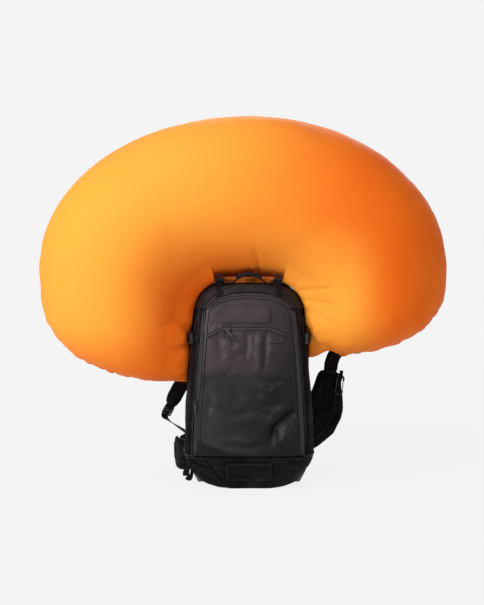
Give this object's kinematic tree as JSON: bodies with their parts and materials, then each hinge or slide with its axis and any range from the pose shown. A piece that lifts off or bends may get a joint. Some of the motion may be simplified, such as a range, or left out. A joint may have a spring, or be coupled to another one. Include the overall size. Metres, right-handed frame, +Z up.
{
  "type": "avalanche airbag backpack",
  "caption": "Ski touring backpack with its avalanche airbag inflated, fan inflation unit, pull trigger, padded harness, hip belt and a zipped front panel that folds open.",
  "frame": {"origin": "middle of the flat base that the pack stands on", "axes": "+X to the viewer's right across the pack, +Y from the front panel towards the wearer, +Z up"},
  "size_m": [1.0897, 0.4468, 0.996],
  "materials": {
    "panel_fabric": "coated weave",
    "body_fabric": "coated weave",
    "base_fabric": "heavy coated weave",
    "airbag_fabric": "thin coated nylon",
    "pad_fabric": "spacer mesh over foam",
    "webbing": "woven webbing",
    "zip": "coil zip",
    "buckle_plastic": "moulded",
    "unit_plastic": "moulded, fine grain",
    "light_plastic": "moulded",
    "trigger_plastic": "moulded, soft grip",
    "frame_plastic": "extruded sheet",
    "aluminium": "satin",
    "black_alloy": "anodised",
    "steel": "satin",
    "capacitor_sleeve": "shrink sleeve",
    "board": "solder mask"
  },
  "bodies": {
    "pack": {"base_panel": "base_fabric", "side_panel_left": "body_fabric", "side_panel_right": "body_fabric", "rear_shell": "body_fabric", "crown_hood": "body_fabric", "front_zip_body": "zip", "base_flap": "base_fabric", "divider": "body_fabric", "frame_sheet": "frame_plastic", "frame_stays": "aluminium", "back_pad": "pad_fabric", "unit_front_cover": "unit_plastic", "unit_rear_cover": "unit_plastic", "cover_screws": "steel", "blower_volute": "unit_plastic", "motor": "steel", "valve_spigot": "unit_plastic", "supercapacitors": "capacitor_sleeve", "circuit_board": "board", "batteries": "aluminium", "airbag_duct": "airbag_fabric", "airbag_collar": "airbag_fabric", "airbag_front": "airbag_fabric", "airbag_rear": "airbag_fabric", "shoulder_strap_left": "pad_fabric", "shoulder_strap_right": "pad_fabric", "strap_webbing": "webbing", "ladder_locks": "buckle_plastic", "load_lifters": "webbing", "trigger_housing": "unit_plastic", "trigger_cable": "zip", "sternum_rails": "buckle_plastic", "grab_handle": "webbing", "crown_buckles": "buckle_plastic", "compression_straps": "webbing", "compression_buckles": "buckle_plastic", "ski_straps": "webbing"},
    "front_panel": {"front_panel": "panel_fabric", "front_zip_panel": "zip", "goggle_flap": "panel_fabric", "goggle_zip": "zip"},
    "goggle_slider": {"goggle_slider": "aluminium"},
    "zip_slider": {"zip_slider": "aluminium"},
    "trigger": {"trigger_handle": "trigger_plastic"},
    "impeller": {"impeller": "light_plastic"},
    "valve": {"valve_flap": "trigger_plastic"},
    "button": {"power_button": "trigger_plastic"},
    "sternum": {"sternum_sliders": "buckle_plastic", "sternum_webbing": "webbing", "sternum_buckle_female": "buckle_plastic"},
    "sternum_plug": {"sternum_buckle_male": "buckle_plastic"},
    "hip_left": {"hip_wing_left": "pad_fabric", "hip_webbing_left": "webbing", "hip_buckle_female": "buckle_plastic"},
    "hip_right": {"hip_wing_right": "pad_fabric", "hip_webbing_right": "webbing", "hip_buckle_male": "buckle_plastic", "gear_loop": "webbing"},
    "carabiner": {"carabiner_body": "black_alloy"},
    "gate": {"carabiner_gate": "aluminium"}
  },
  "joints": [
    {"name": "front_panel_fold", "type": "hinge", "parent": "pack", "child": "front_panel", "pos_m": [0, -0.1116, 0.096], "axis": [1, 0, 0], "range_deg": [0, 85]},
    {"name": "goggle_zip_slide", "type": "slide", "parent": "front_panel", "child": "goggle_slider", "axis": [1, 0, 0], "range_m": [0, 0.1]},
    {"name": "front_zip_slide", "type": "slide", "parent": "pack", "child": "zip_slider", "axis": [-0.0476, 0, -0.9989], "range_m": [0, 0.12]},
    {"name": "trigger_pull", "type": "slide", "parent": "pack", "child": "trigger", "axis": [-0.6125, -0.0583, -0.7883], "range_m": [0, 0.028]},
    {"name": "impeller_spin", "type": "hinge", "parent": "pack", "child": "impeller", "pos_m": [-0.03, 0.025, 0.356], "axis": [0, 1, 0], "continuous": true},
    {"name": "valve_open", "type": "hinge", "parent": "pack", "child": "valve", "pos_m": [0, 0.0554, 0.4408], "axis": [-1, 0, 0], "range_deg": [0, 50]},
    {"name": "button_press", "type": "slide", "parent": "pack", "child": "button", "axis": [0, 1, 0], "range_m": [0, 0.0015], "stiffness_N_per_m": 300, "springref_m": -0.002},
    {"name": "sternum_height", "type": "slide", "parent": "pack", "child": "sternum", "axis": [0, 0, 1], "range_m": [-0.018, 0.018]},
    {"name": "sternum_release", "type": "slide", "parent": "sternum", "child": "sternum_plug", "axis": [1, 0, 0], "range_m": [0, 0.024]},
    {"name": "hip_fold_left", "type": "hinge", "parent": "pack", "child": "hip_left", "pos_m": [-0.1156, 0.0899, 0.06], "axis": [0, 0, -1], "range_deg": [0, 25]},
    {"name": "hip_fold_right", "type": "hinge", "parent": "pack", "child": "hip_right", "pos_m": [0.1156, 0.0899, 0.094], "axis": [0, 0, 1], "range_deg": [0, 25]},
    {"name": "carabiner_swing", "type": "hinge", "parent": "hip_right", "child": "carabiner", "pos_m": [0.25483, 0.13891, 0.26438], "axis": [-0.023, 0.9877, -0.1548], "range_deg": [-25, 25]},
    {"name": "carabiner_gate", "type": "hinge", "parent": "carabiner", "child": "gate", "pos_m": [0.26015, 0.13451, 0.23553], "axis": [0.023, -0.9877, 0.1548], "range_deg": [0, 32], "stiffness_Nm_per_rad": 0.02, "springref_deg": -22.92}
  ]
}
